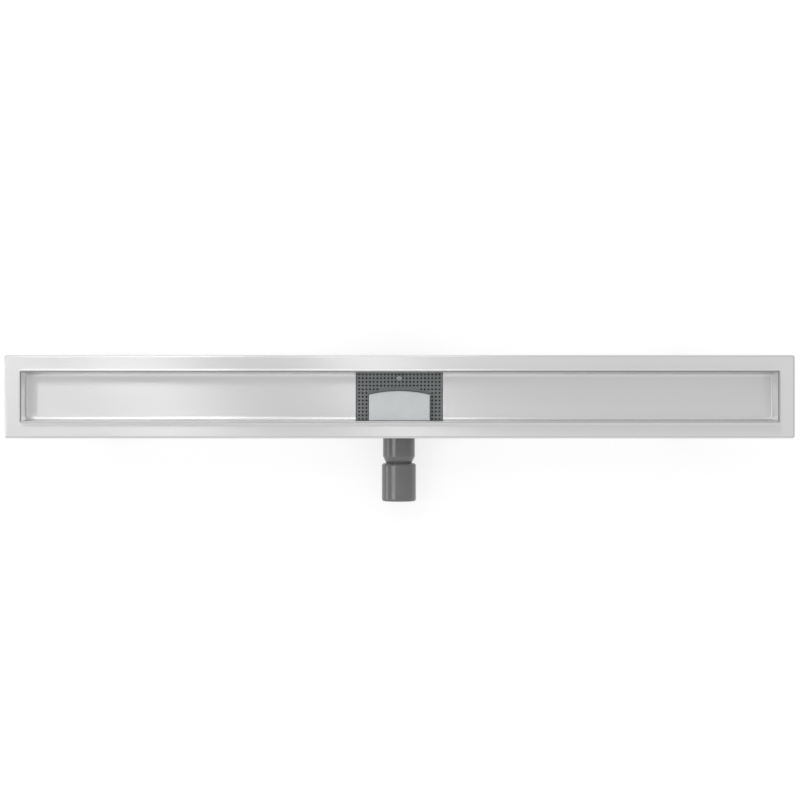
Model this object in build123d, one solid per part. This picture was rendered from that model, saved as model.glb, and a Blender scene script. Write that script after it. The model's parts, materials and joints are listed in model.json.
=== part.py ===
from build123d import *
import os
from math import sqrt

# Linear shower drain without its cover, in millimetres.
# X runs along the channel, -Y towards the outlet, +Z up.
# The origin is on the floor under the middle of the channel.

# Stainless steel sheet of the channel
sheet = 1.2

# Flange round the rim
flange_end_margin = 18.6
flange_side_margin = 17.3
flange_corner_radius = 3.0
flange_edge_radius = 2.5
flange_lip = 6.0

# Rim: the sheet is folded back on itself round the opening
opening_length = 858.0
opening_width = 55.6
rim_height = 9.0
rim_wall = 2 * sheet
rim_corner_radius = 2.0
rim_bend_radius = 1.5
hem_radius = 1.0

# Trough
trough_depth = 32.0
trough_side_radius = 5.5
trough_end_radius = 1.5

# Outlet collar under the middle of the trough
collar_length = 100.0
collar_drop = 15.0
collar_lip = 13.0
collar_corner_radius = 8.0

# Seal and fasteners between the collar and the sump
gasket_thickness = 2.0
collar_stud_radius = 2.5
collar_stud_rows = 2
collar_studs_per_row = 4
collar_stud_tail = 2.0
bolt_clearance = 0.25
thread_clearance = 0.1
washer_radius = 5.0
washer_thickness = 1.0
sump_nut_width = 8.0
sump_nut_height = 4.0

# Sump
sump_height = 52.0
sump_flange = 4.0
sump_wall = 3.0
sump_base = 3.0
sump_corner_radius = 8.0
sump_base_radius = 2.0
sump_ledge = 4.0
gusset_thickness = 2.5
gusset_depth = 18.0
gusset_margin = 2.0

# Outlet stub on the sump
outlet_height = 27.0
stub_radius = 18.7
stub_wall = 3.0
stub_reach = 69.6
stub_root_collar = 1.8
stub_root_length = 6.0
stub_taper = 7.7
neck_radius = 15.1
neck_wall = 3.0
neck_length = 25.0
o_ring_section = 0.8
o_ring_distance = 13.0
o_ring_groove_width = 2.0

# Sleeve on the outlet stub
sleeve_radius = 20.0
sleeve_wall = 2.8
sleeve_gap = 0.3
sleeve_length = 44.4
sleeve_shoulder = 3.0
sleeve_nose = 2.5
sleeve_stop = 2.5
sleeve_flare = 4.0
sleeve_clearance = 0.15

# Trap insert: an arched lid on a skirt that dips into the water
lid_half_width = 35.0
lid_crown = 6.7
lid_arch_rise = 4.3
lid_stand = 8.5
lid_edge_radius = 1.5
insert_wall = 2.5
skirt_inset = 1.0
skirt_leg = 8.0
inlet_height = 11.0
seal_thickness = 1.5
weir_gap = 8.0
weir_wall = 2.5
weir_height = 40.0

# Strainer
strainer_drop = 1.5
strainer_plate = 2.0
strainer_end_wall = 2.0
strainer_clearance = 0.3
lid_clearance = 0.4
hole_diameter = 2.2
hole_pitch_x = 4.2
hole_pitch_y = 4.275
hole_end_margin = 2.2
hole_side_margin = 0.6
hole_lid_margin = 1.5
hole_arch_margin = 2.6

# Screw that holds the strainer down
screw_radius = 1.75
screw_row = 2
screw_length = 24.0
screw_head_width = 6.0
screw_head_height = 2.4
screw_socket_width = 2.6
screw_socket_depth = 1.2
screw_tube_radius = 3.05
screw_clearance = 0.2
pillar_radius = 5.0
threaded_insert_radius = 2.9
threaded_insert_length = 10.0

# Levelling feet under the trough
foot_end_distance = 120.0
foot_side_inset = 0.5
foot_rail_width = 24.0
foot_rail_sheet = 2.0
foot_rail_leg = 8.0
foot_rail_overhang = 8.0
foot_stud_radius = 3.0
foot_stud_tail = 5.0
foot_nut_width = 10.0
foot_nut_height = 5.0
foot_pad_radius = 11.0
foot_pad_top_radius = 6.5
foot_pad_rim = 3.0
foot_pad_height = 9.0
foot_pad_floor = 3.0

# Levels
sump_top = sump_height
collar_bottom = sump_top + gasket_thickness
floor_top = collar_bottom + collar_drop
rim_top = floor_top + trough_depth
flange_top = rim_top - rim_height
strainer_top = floor_top - strainer_drop
lid_top = strainer_top + lid_stand
rail_top = floor_top - sheet

# Outlines that several pieces share
rim_length = opening_length + 2 * rim_wall
rim_width = opening_width + 2 * rim_wall
flange_length = rim_length + 2 * flange_end_margin
flange_width = rim_width + 2 * flange_side_margin
foot_spacing_x = flange_length - 2 * foot_end_distance
foot_spacing_y = flange_width - 2 * (foot_pad_radius + foot_side_inset)
lip_length = collar_length + 2 * (sheet + collar_lip)
lip_width = opening_width + 2 * (sheet + collar_lip)
stud_span_x = collar_length + 2 * sheet + collar_lip
stud_span_y = opening_width + 2 * sheet + collar_lip
stud_pitch = stud_span_x / (collar_studs_per_row - 1)
tub_inner_length = collar_length - 2 * sump_ledge
tub_inner_width = opening_width - 2 * sump_ledge
tub_length = tub_inner_length + 2 * sump_wall
tub_width = tub_inner_width + 2 * sump_wall
tub_front = -tub_inner_width / 2
strainer_length = collar_length - 2 * strainer_clearance
strainer_width = opening_width - 2 * strainer_clearance
strainer_front = -strainer_width / 2
neck_start = stub_reach + stub_taper
neck_end = neck_start + neck_length
o_ring_place = neck_start + o_ring_distance
sleeve_start = neck_start + sleeve_gap
sleeve_end = sleeve_start + sleeve_length
stub_bore = stub_radius - stub_wall
neck_bore = neck_radius - neck_wall
socket_radius = neck_radius + sleeve_clearance
arch_radius = (lid_half_width**2 + lid_arch_rise**2) / (2 * lid_arch_rise)
arch_centre = lid_crown - arch_radius

# Rows and columns of holes in the strainer
hole_columns = int((strainer_length - 2 * hole_end_margin - hole_diameter) / hole_pitch_x) + 1
hole_rows = int((strainer_width - 2 * hole_side_margin - hole_diameter) / hole_pitch_y) + 1
first_row = hole_pitch_y * (hole_rows - 1) / 2
first_column = -hole_pitch_x * (hole_columns - 1) / 2
screw_y = first_row - hole_pitch_y * (screw_row - 1)


def slab(outline, bottom, top):
    """A flat outline raised from one level to another."""
    return extrude(Pos(0, 0, bottom) * outline, amount=top - bottom)


def block(x0, x1, y0, y1, bottom, top):
    """A box between two corners."""
    outline = Pos((x0 + x1) / 2, (y0 + y1) / 2) * Rectangle(x1 - x0, y1 - y0)
    return slab(outline, bottom, top)


def hexagon(width):
    """A hexagon with the given width across its flats."""
    return RegularPolygon(width / 2, 6, major_radius=False)


def ring(outer, inner, bottom, top):
    """An upright ring."""
    return slab(Circle(outer) - Circle(inner), bottom, top)


def turned(points):
    """A solid turned about the outlet's axis from (radius, reach) points."""
    profile = make_face(Polyline([(radius, -reach) for radius, reach in points], close=True))
    return Pos(0, 0, outlet_height) * revolve(profile, axis=Axis.Y)


def arch(inset, front):
    """The lid's outline drawn in by an inset, with its straight edge at front."""
    half = lid_half_width - inset
    radius = arch_radius - inset
    side = arch_centre + sqrt(radius**2 - half**2)
    walls = Polyline((-half, side), (-half, front), (half, front), (half, side))
    crown = ThreePointArc((half, side), (0, arch_centre + radius), (-half, side))
    return make_face([walls, crown])


def trough_profile(width, bottom, top, radius):
    """A slot with a rounded bottom, drawn upright."""
    slot = Pos(0, (bottom + top) / 2) * Rectangle(width, top - bottom)
    return fillet(slot.vertices().group_by(Axis.Y)[0], radius)


def trough_space(wall, top):
    """The space inside the trough, grown by a wall, up to a level."""
    length = opening_length + 2 * wall
    width = opening_width + 2 * wall
    bottom = floor_top - wall
    across = Plane.YZ * trough_profile(width, bottom, top, trough_side_radius + wall)
    along = Plane.XZ * trough_profile(length, bottom, top, trough_end_radius + wall)
    return extrude(across, amount=length / 2, both=True) & extrude(along, amount=width / 2, both=True)


def flange_pan(wall):
    """The flange with its turned-down edge as a solid cap, drawn in by a wall."""
    outline = RectangleRounded(
        flange_length - 2 * wall, flange_width - 2 * wall, flange_corner_radius - wall
    )
    cap = slab(outline, flange_top - flange_lip, flange_top - wall)
    return fillet(cap.faces().sort_by(Axis.Z)[-1].edges(), flange_edge_radius - wall)


def rim_wall_ring():
    """The doubled rim that stands round the opening."""
    outline = RectangleRounded(rim_length, rim_width, rim_corner_radius)
    wall = slab(outline - Rectangle(opening_length, opening_width), flange_top - sheet, rim_top)
    return fillet(wall.faces().sort_by(Axis.Z)[-1].edges(), hem_radius)


def channel_tray():
    """Flange, rim, trough and outlet collar, folded and welded from one sheet."""
    flange = flange_pan(0) - flange_pan(sheet)
    flange -= slab(Rectangle(opening_length, opening_width), flange_top - flange_lip, rim_top)
    upper = flange + rim_wall_ring()
    flange_face = upper.faces().filter_by(Plane.XY).sort_by(Axis.Z)[-2]
    upper = fillet(flange_face.inner_wires()[0].edges(), rim_bend_radius)
    collar_outline = Rectangle(collar_length + 2 * sheet, opening_width + 2 * sheet)
    collar = slab(collar_outline, collar_bottom, floor_top + trough_side_radius)
    lip = slab(RectangleRounded(lip_length, lip_width, collar_corner_radius),
               collar_bottom, collar_bottom + sheet)
    trough = trough_space(sheet, flange_top) + collar + lip
    void = trough_space(0, rim_top + sheet)
    collar_void = slab(Rectangle(collar_length, opening_width), collar_bottom, rim_top)
    return upper + (trough - void - collar_void)


def stud_places():
    """Where the studs stand on the collar's lip."""
    return GridLocations(stud_pitch, stud_span_y, collar_studs_per_row, collar_stud_rows)


def sump_gasket():
    """Flat rubber seal under the collar's lip."""
    outline = RectangleRounded(lip_length, lip_width, collar_corner_radius)
    outline -= Rectangle(collar_length, opening_width)
    outline -= stud_places() * Circle(collar_stud_radius + bolt_clearance)
    return slab(outline, sump_top, collar_bottom)


def collar_studs():
    """Studs welded to the underside of the collar's lip."""
    bottom = sump_top - sump_flange - washer_thickness - sump_nut_height - collar_stud_tail
    return stud_places() * slab(Circle(collar_stud_radius), bottom, collar_bottom)


def sump_washers():
    """Washers under the sump's flange."""
    top = sump_top - sump_flange
    bore = collar_stud_radius + bolt_clearance
    return stud_places() * ring(washer_radius, bore, top - washer_thickness, top)


def sump_nuts():
    """Nuts on the collar's studs."""
    top = sump_top - sump_flange - washer_thickness
    outline = hexagon(sump_nut_width) - Circle(collar_stud_radius + thread_clearance)
    return stud_places() * slab(outline, top - sump_nut_height, top)


def outlet_stub():
    """Outside of the outlet: a stub that tapers down to a neck."""
    start = tub_inner_width / 2
    return turned([
        (0, start),
        (stub_radius, start),
        (stub_radius, stub_reach),
        (neck_radius, neck_start),
        (neck_radius, neck_end),
        (0, neck_end),
    ])


def outlet_bore():
    """Waterway through the stub and its neck."""
    start = tub_inner_width / 2 - weir_wall / 2
    return turned([
        (0, start),
        (stub_bore, start),
        (stub_bore, stub_reach),
        (neck_bore, neck_start),
        (neck_bore, neck_end),
        (0, neck_end),
    ])


def o_ring_groove():
    """Groove round the neck for the seal ring."""
    floor = socket_radius - 2 * o_ring_section
    near = o_ring_place - o_ring_groove_width / 2
    far = o_ring_place + o_ring_groove_width / 2
    return turned([(floor, near), (socket_radius, near), (socket_radius, far), (floor, far)])


def stub_root():
    """Thicker ring where the outlet stub leaves the tub."""
    outer = stub_radius + stub_root_collar
    start = tub_inner_width / 2
    end = tub_width / 2 + stub_root_length
    return turned([(0, start), (outer, start), (outer, end - stub_root_collar), (stub_radius, end), (0, end)])


def gusset(wall, reach):
    """Rib under the sump's flange, from the middle of a tub wall out to a reach."""
    top = sump_top - sump_flange
    start = wall - sump_wall / 2
    outline = Polyline((start, top), (reach, top), (wall, top - gusset_depth), (start, top - gusset_depth),
                       close=True)
    return extrude(Plane.XZ * make_face(outline), amount=gusset_thickness / 2, both=True)


def sump_gussets():
    """Ribs between the studs, on the four sides of the tub."""
    side = gusset(tub_width / 2, lip_width / 2 - gusset_margin)
    end = gusset(tub_length / 2, lip_length / 2 - gusset_margin)
    gussets = Rot(0, 0, 90) * side
    for x in (-stud_pitch, stud_pitch):
        gussets += Pos(x, 0) * Rot(0, 0, 90) * side
        gussets += Pos(x, 0) * Rot(0, 0, -90) * side
    for y in (-tub_width / 4, tub_width / 4):
        gussets += Pos(0, y) * end
        gussets += Pos(0, y) * Rot(0, 0, 180) * end
    return gussets


def sump_body():
    """Moulded sump with its flange, gussets, weir, screw pillar and outlet stub."""
    corner = sump_corner_radius
    tub = slab(RectangleRounded(tub_length, tub_width, corner), 0, sump_top)
    tub = fillet(tub.faces().sort_by(Axis.Z)[0].edges(), sump_base_radius)
    flange = slab(RectangleRounded(lip_length, lip_width, collar_corner_radius),
                  sump_top - sump_flange, sump_top)
    flange -= stud_places() * slab(Circle(collar_stud_radius + bolt_clearance),
                                   sump_top - sump_flange, sump_top)
    space = slab(RectangleRounded(tub_inner_length, tub_inner_width, corner - sump_wall), sump_base, sump_top)
    weir_inset = skirt_inset + insert_wall + weir_gap
    weir = slab(arch(weir_inset, tub_front), sump_base, weir_height)
    chamber = slab(arch(weir_inset + weir_wall, tub_front), outlet_height - stub_bore, weir_height)
    pillar = Pos(0, screw_y) * slab(Circle(pillar_radius), sump_base, sump_top)
    pillar_hole = Pos(0, screw_y) * slab(Circle(threaded_insert_radius),
                                         sump_top - threaded_insert_length, sump_top)
    body = tub + flange + sump_gussets() + stub_root() - space
    body += (weir - chamber) + pillar + outlet_stub()
    return body - pillar_hole - outlet_bore() - o_ring_groove()


def threaded_insert():
    """Brass thread in the sump's pillar."""
    sleeve = ring(threaded_insert_radius, screw_radius + thread_clearance,
                  sump_top - threaded_insert_length, sump_top)
    return Pos(0, screw_y) * sleeve


def trap_insert():
    """Lid with an arched back on a skirt that stands in the sump."""
    lid_bottom = sump_top + seal_thickness
    lid = slab(arch(0, strainer_front), lid_bottom, lid_top)
    lid = fillet(lid.faces().sort_by(Axis.Z)[-1].edges(), lid_edge_radius)
    lid -= slab(arch(insert_wall, strainer_front + insert_wall), lid_bottom, lid_top - insert_wall)
    skirt_front = tub_front + seal_thickness
    skirt = slab(arch(skirt_inset, skirt_front), sump_base, lid_bottom + insert_wall)
    skirt -= slab(arch(skirt_inset + insert_wall, skirt_front), sump_base, lid_bottom + insert_wall)
    inlet_top = sump_base + inlet_height
    side_y = lid_crown - lid_arch_rise
    side_inlet = block(-lid_half_width, lid_half_width, skirt_front + skirt_leg, side_y - skirt_leg,
                       sump_base, inlet_top)
    skirt -= side_inlet
    for side in (-1, 1):
        near = side * skirt_leg / 2
        far = side * (lid_half_width - skirt_leg)
        skirt -= block(min(near, far), max(near, far), side_y - skirt_leg, lid_crown, sump_base, inlet_top)
    return lid + skirt


def insert_seal():
    """Rubber seal along the trap insert's front edges and under its lid."""
    outer = lid_half_width - skirt_inset
    inner = outer - insert_wall
    seal = block(-outer, outer, strainer_front, tub_front, sump_top, sump_top + seal_thickness)
    for side in (-1, 1):
        near = side * inner
        far = side * outer
        seal += block(min(near, far), max(near, far), tub_front, tub_front + seal_thickness,
                      sump_base, sump_top + seal_thickness)
    return seal


def strainer_hole_places():
    """Hole centres, leaving out the screw's place and those at the lid."""
    places = []
    for row in range(hole_rows):
        y = first_row - row * hole_pitch_y
        for column in range(hole_columns):
            x = first_column + column * hole_pitch_x
            arch_y = arch_centre + sqrt(arch_radius**2 - min(abs(x), lid_half_width)**2)
            beside_lid = abs(x) - hole_diameter / 2 > lid_half_width + hole_lid_margin
            behind_lid = y - hole_diameter / 2 > arch_y + hole_arch_margin
            at_screw = abs(x) < hole_pitch_x / 2 and row == screw_row - 1
            if (beside_lid or behind_lid) and not at_screw:
                places.append((x, y))
    return places


def strainer():
    """Moulded strainer plate on two end walls, cut out round the lid."""
    outline = Rectangle(strainer_length, strainer_width)
    outline -= arch(-lid_clearance, strainer_front)
    holes = Locations(strainer_hole_places()) * Circle(hole_diameter / 2)
    screw_hole = Pos(0, screw_y) * Circle(screw_radius + screw_clearance)
    plate_bottom = strainer_top - strainer_plate
    grid = slab(outline - holes - screw_hole, plate_bottom, strainer_top)
    tube = Pos(0, screw_y) * ring(screw_tube_radius, screw_radius + screw_clearance, sump_top, plate_bottom)
    end = strainer_length / 2
    half = strainer_width / 2
    left = block(-end, -end + strainer_end_wall, -half, half, sump_top, plate_bottom)
    right = block(end - strainer_end_wall, end, -half, half, sump_top, plate_bottom)
    return grid + tube + left + right


def strainer_screw():
    """Hexagon screw through the strainer into the pillar."""
    shank = slab(Circle(screw_radius), strainer_top - screw_length, strainer_top)
    head = slab(hexagon(screw_head_width), strainer_top, strainer_top + screw_head_height)
    head_top = strainer_top + screw_head_height
    socket = slab(hexagon(screw_socket_width), head_top - screw_socket_depth, head_top)
    return Pos(0, screw_y) * (shank + head - socket)


def outlet_adapter():
    """Sleeve on the outlet's neck, with the pipe's outside diameter."""
    bore = sleeve_radius - sleeve_wall
    stop_start = neck_end + sleeve_clearance
    stop_end = stop_start + sleeve_stop
    start = (socket_radius, -sleeve_start)
    face_edge = (sleeve_radius - sleeve_shoulder, -sleeve_start)
    shoulder = (sleeve_radius, -sleeve_start - sleeve_shoulder)
    nose = (sleeve_radius, -sleeve_end + sleeve_nose)
    tip = (sleeve_radius - sleeve_wall / 2, -sleeve_end)
    outline = [
        Line(start, face_edge),
        TangentArc(shoulder, face_edge, tangent=(0, 1)),
        Line(shoulder, nose),
        TangentArc(nose, tip, tangent=(0, -1)),
        Polyline(tip, (bore, -sleeve_end), (bore, -stop_end - sleeve_flare), (neck_bore, -stop_end),
                 (neck_bore, -stop_start), (socket_radius, -stop_start), start),
    ]
    sleeve = revolve(make_face(outline), axis=Axis.Y)
    return Pos(0, 0, outlet_height) * sleeve


def outlet_o_ring():
    """Seal ring in the neck's groove."""
    section = Pos(socket_radius - o_ring_section, -o_ring_place) * Circle(o_ring_section)
    return Pos(0, 0, outlet_height) * revolve(section, axis=Axis.Y)


def foot_rail():
    """Folded rail across the trough's underside, with a hole for each foot."""
    reach = foot_spacing_y / 2 + foot_rail_overhang
    half = foot_rail_width / 2
    rail = block(-half, half, -reach, reach, rail_top - foot_rail_leg, rail_top)
    inner = half - foot_rail_sheet
    rail -= block(-inner, inner, -reach, reach, rail_top - foot_rail_leg, rail_top - foot_rail_sheet)
    for side in (-1, 1):
        hole = slab(Circle(foot_stud_radius + bolt_clearance), rail_top - foot_rail_sheet, rail_top)
        rail -= Pos(0, side * foot_spacing_y / 2) * hole
    return rail


def foot_stud():
    """Threaded rod of one foot."""
    return slab(Circle(foot_stud_radius), foot_pad_floor, rail_top + foot_nut_height + foot_stud_tail)


def foot_pad():
    """Moulded pad under one foot, with a socket for the rod."""
    top = foot_pad_height
    profile = make_face(Polyline(
        [(0, 0), (foot_pad_radius, 0), (foot_pad_radius, foot_pad_rim), (foot_pad_top_radius, top), (0, top)],
        close=True,
    ))
    pad = revolve(Plane.XZ * profile, axis=Axis.Z)
    return pad - slab(Circle(foot_stud_radius + thread_clearance), foot_pad_floor, top)


def foot_nut(bottom):
    """Lock nut on one foot's rod."""
    outline = hexagon(foot_nut_width) - Circle(foot_stud_radius + thread_clearance)
    return slab(outline, bottom, bottom + foot_nut_height)


parts = {
    "channel_tray": channel_tray(),
    "sump_gasket": sump_gasket(),
    "collar_studs": collar_studs(),
    "sump_washers": sump_washers(),
    "sump_nuts": sump_nuts(),
    "sump_body": sump_body(),
    "threaded_insert": threaded_insert(),
    "trap_insert": trap_insert(),
    "insert_seal": insert_seal(),
    "strainer": strainer(),
    "strainer_screw": strainer_screw(),
    "outlet_adapter": outlet_adapter(),
    "outlet_o_ring": outlet_o_ring(),
}

for name, side in (("left", -1), ("right", 1)):
    parts["foot_rail_" + name] = Pos(side * foot_spacing_x / 2, 0) * foot_rail()

foot_places = GridLocations(foot_spacing_x, foot_spacing_y, 2, 2)
for number, place in enumerate(foot_places, start=1):
    parts["foot_stud_" + str(number)] = place * foot_stud()
    parts["foot_pad_" + str(number)] = place * foot_pad()
parts["foot_nuts_upper"] = foot_places * foot_nut(rail_top)
parts["foot_nuts_lower"] = foot_places * foot_nut(rail_top - foot_rail_sheet - foot_nut_height)

os.makedirs("parts", exist_ok=True)
for name, piece in parts.items():
    if isinstance(piece, list):
        piece = Compound(piece)
    export_step(piece, "parts/" + name + ".step")
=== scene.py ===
import json
from collections import namedtuple
from functools import partial
from math import acos, cos, pi, radians, sin, sqrt

import bmesh
import bpy
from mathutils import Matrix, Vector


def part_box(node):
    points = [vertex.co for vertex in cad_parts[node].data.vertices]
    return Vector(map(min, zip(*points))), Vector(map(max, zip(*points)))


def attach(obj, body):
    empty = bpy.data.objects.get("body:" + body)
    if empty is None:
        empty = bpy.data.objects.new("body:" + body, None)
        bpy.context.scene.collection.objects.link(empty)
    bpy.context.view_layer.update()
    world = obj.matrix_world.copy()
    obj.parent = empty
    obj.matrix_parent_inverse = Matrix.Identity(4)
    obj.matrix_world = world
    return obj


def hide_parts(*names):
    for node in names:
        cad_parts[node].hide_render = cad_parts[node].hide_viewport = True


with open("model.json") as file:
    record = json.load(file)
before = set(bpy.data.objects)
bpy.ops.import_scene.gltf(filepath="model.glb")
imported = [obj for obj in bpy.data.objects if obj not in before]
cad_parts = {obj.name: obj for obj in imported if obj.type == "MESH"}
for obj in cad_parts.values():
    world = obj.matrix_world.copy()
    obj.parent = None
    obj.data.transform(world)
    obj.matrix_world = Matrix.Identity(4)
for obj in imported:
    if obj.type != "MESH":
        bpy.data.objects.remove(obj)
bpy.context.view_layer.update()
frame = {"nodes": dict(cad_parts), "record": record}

bl_info = {
    "name": "Linear Shower Drain",
    "version": (1, 0, 0),
    "blender": (4, 5, 0),
    "location": "3D View > Sidebar > Drain",
    "description": "Folded channel tray, strainer, fasteners and finishes of a linear shower drain",
    "category": "Add Mesh",
}

NODES = frame["nodes"]
TRAY_LOW, TRAY_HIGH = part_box("channel_tray")
STRAINER_LOW, STRAINER_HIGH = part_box("strainer")
SCREW_LOW, SCREW_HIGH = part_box("strainer_screw")

# Most values of a noise texture lie between these.
NOISE_RANGE = (0.3, 0.7)

# Colour setting, roughness and, for mouldings, relief of the plainer finishes.
METALS = {
    "rail_steel": ("rail", 0.36),
    "fastener_steel": ("zinc", 0.3),
    "thread_brass": ("brass", 0.28),
}
MOULDINGS = {
    "sump_plastic": ("sump", 0.2, 0.03),
    "strainer_plastic": ("strainer", 0.5, 0.15),
    "lid_plastic": ("lid", 0.45, 0.1),
    "pad_plastic": ("pad", 0.5, 0.2),
    "seal_rubber": ("rubber", 0.7, 0.2),
}

# Points round a hole of the strainer, the screw's hole, the lid's arch, a thread and a hexagon.
HOLE_SIDES = 24
SCREW_HOLE_SIDES = 32
ARCH_STEPS = 24
THREAD_SIDES = 20
HEXAGON_SIDES = 48
HEXAGON_TURNS = [2 * pi * side / HEXAGON_SIDES + pi / 2 for side in range(HEXAGON_SIDES)]

# A thread's depth and its pointed end in pitches, and its rings in one pitch.
THREAD_DEPTH = 0.55
THREAD_POINT = 1.2
THREAD_RINGS = 6

# Slope of a hexagon's chamfer, and where it starts as a part of the half width.
CHAMFER_SLOPE = 0.55
NUT_CHAMFER = 0.96
HEAD_CHAMFER = 0.94
# A nut's countersink as a part of its bore.
NUT_SINK = 0.12
# The screw's washer face, its slope above, its socket's rim and one step of its fine edges.
SEAT_REACH = 0.97
SEAT_SLOPE = 0.2
SOCKET_RIM = 0.58
SCREW_EDGE = 0.00005

# The floor's half size, and how far it lies under the feet.
FLOOR_HALF = 6
FLOOR_DROP = 0.0002
# Light that falls on the open floor, where one is white.
FLOOR_LEVEL = 0.85
# How far a direction points forward or back where the walls begin and where they are full.
WALL_RANGE = (0.55, 0.85)

# Places and sizes of the lamps in metres, their turns in degrees and the setting of their brightness.
LightBox = namedtuple("LightBox", "name place turn width depth setting")
LIGHT_BOXES = (
    LightBox("box_left", (-1.325, 0.9, 2.19), (0, 0, 27), 0.125, 0.5, "box_light"),
    LightBox("box_middle", (-1.01, 0.9, 2.19), (0, 0, 27), 0.235, 0.5, "box_light"),
    LightBox("box_right", (-0.45, 0.9, 2.19), (0, 0, 27), 0.135, 0.5, "box_light"),
    LightBox("box_far", (-0.675, 1.4, 2.19), (0, 0, 27), 0.3, 0.5, "far_light"),
    LightBox("back_left", (-0.63, 1.95, 1.6), (-52, 0, 0), 0.52, 0.6, "back_light"),
    LightBox("back_middle", (0, 1.95, 1.6), (-52, 0, 0), 0.45, 0.6, "back_light"),
    LightBox("side_box", (-1.5, -0.15, 2), (0, -34, 0), 0.95, 0.45, "side_light"),
    LightBox("low_box", (-1.3, -0.12, 0.1), (0, -90, 0), 0.2, 0.5, "low_light"),
)


def length(name, description, default):
    """A length property, given in millimetres and held in metres."""
    return bpy.props.FloatProperty(
        name=name, description=description, default=default / 1000, min=0, precision=5, unit="LENGTH"
    )


def colour(name, description, default):
    """A colour property."""
    return bpy.props.FloatVectorProperty(
        name=name, description=description, default=default, min=0, max=1, subtype="COLOR"
    )


def factor(name, description, default):
    """A property between nought and one."""
    return bpy.props.FloatProperty(
        name=name, description=description, default=default, min=0, max=1, subtype="FACTOR"
    )


def brightness(name, description, default):
    """The brightness of a light, where one is white."""
    return bpy.props.FloatProperty(name=name, description=description, default=default, min=0)


class DrainTray(bpy.types.PropertyGroup):
    """Sizes of the folded channel tray."""

    sheet: length("Sheet", "Thickness of the steel sheet", 1.2)
    opening_length: length("Opening length", "Length of the opening inside the rim", 858.0)
    opening_width: length("Opening width", "Width of the opening inside the rim", 55.6)
    rim_height: length("Rim height", "Height of the rim above the flange", 9.0)
    rim_corner: length("Rim corner", "Outside corner radius of the rim", 2.0)
    hem: length("Hem radius", "Rounding of the folded top of the rim", 1.0)
    bend: length("Rim bend", "Radius where the flange turns up into the rim", 1.5)
    flange_corner: length("Flange corner", "Corner radius of the flange", 3.0)
    flange_edge: length("Flange edge", "Radius of the flange's turned-down edge", 2.5)
    flange_lip: length("Flange lip", "Height of the flange's turned-down edge", 6.0)
    depth: length("Trough depth", "From the top of the rim to the trough's floor", 32.0)
    side_radius: length("Side radius", "Rounding between the floor and the long walls", 5.5)
    end_radius: length("End radius", "Rounding between the floor and the end walls", 1.5)
    collar_length: length("Collar length", "Length of the outlet collar", 100.0)
    collar_lip: length("Collar lip", "Width of the lip under the collar", 13.0)
    collar_corner: length("Collar corner", "Corner radius of the collar's lip", 8.0)
    collar_edge: length("Collar edge", "Rounding where the floor bends down into the collar", 0.3)


class DrainStrainer(bpy.types.PropertyGroup):
    """Sizes of the strainer and of the lid that it is cut out for."""

    plate: length("Plate", "Thickness of the perforated plate", 2.0)
    end_wall: length("End wall", "Thickness of the walls that carry the plate", 2.0)
    edge: length("Edge", "Chamfer round the top of the plate", 0.3)
    hole: length("Hole", "Diameter of one hole", 2.2)
    chamfer: length("Hole chamfer", "Chamfer round the top of a hole", 0.15)
    pitch_x: length("Column pitch", "Distance between columns of holes", 4.2)
    pitch_y: length("Row pitch", "Distance between rows of holes", 4.275)
    columns: bpy.props.IntProperty(name="Columns", description="Columns of holes", default=23, min=1)
    rows: bpy.props.IntProperty(name="Rows", description="Rows of holes", default=13, min=1)
    side_margin: length("Lid margin", "Plain strip beside the lid", 1.5)
    arch_margin: length("Arch margin", "Plain strip behind the lid's arch", 2.6)
    lid_half: length("Lid half width", "Half the width of the lid", 35.0)
    lid_crown: length("Lid crown", "How far the lid's arch reaches back", 6.7)
    lid_rise: length("Arch rise", "Rise of the lid's arch", 4.3)
    lid_gap: length("Lid gap", "Gap between the strainer and the lid", 0.4)
    tube: length("Screw tube", "Outside radius of the tube round the screw", 3.05)
    screw_hole: length("Screw hole", "Radius of the screw's hole", 1.95)


class DrainFasteners(bpy.types.PropertyGroup):
    """Sizes of the screw, rods, studs and nuts."""

    head_width: length("Head width", "Width of the screw's head across its flats", 6.0)
    head_height: length("Head height", "Height of the screw's head", 2.4)
    socket_width: length("Socket width", "Width of the socket in the screw's head", 2.6)
    socket_depth: length("Socket depth", "Depth of the socket in the screw's head", 1.2)
    screw_radius: length("Screw radius", "Radius of the screw's shank", 1.75)
    screw_pitch: length("Screw pitch", "Pitch of the screw's thread", 0.7)
    stud_radius: length("Stud radius", "Radius of the collar's studs", 2.5)
    stud_pitch: length("Stud pitch", "Pitch of the studs' threads", 0.8)
    rod_radius: length("Rod radius", "Radius of the rods of the feet", 3.0)
    rod_pitch: length("Rod pitch", "Pitch of the rods' threads", 1.0)
    stud_nut: length("Stud nut", "Width of the studs' nuts across the flats", 8.0)
    rod_nut: length("Foot nut", "Width of the feet's nuts across the flats", 10.0)


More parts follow.
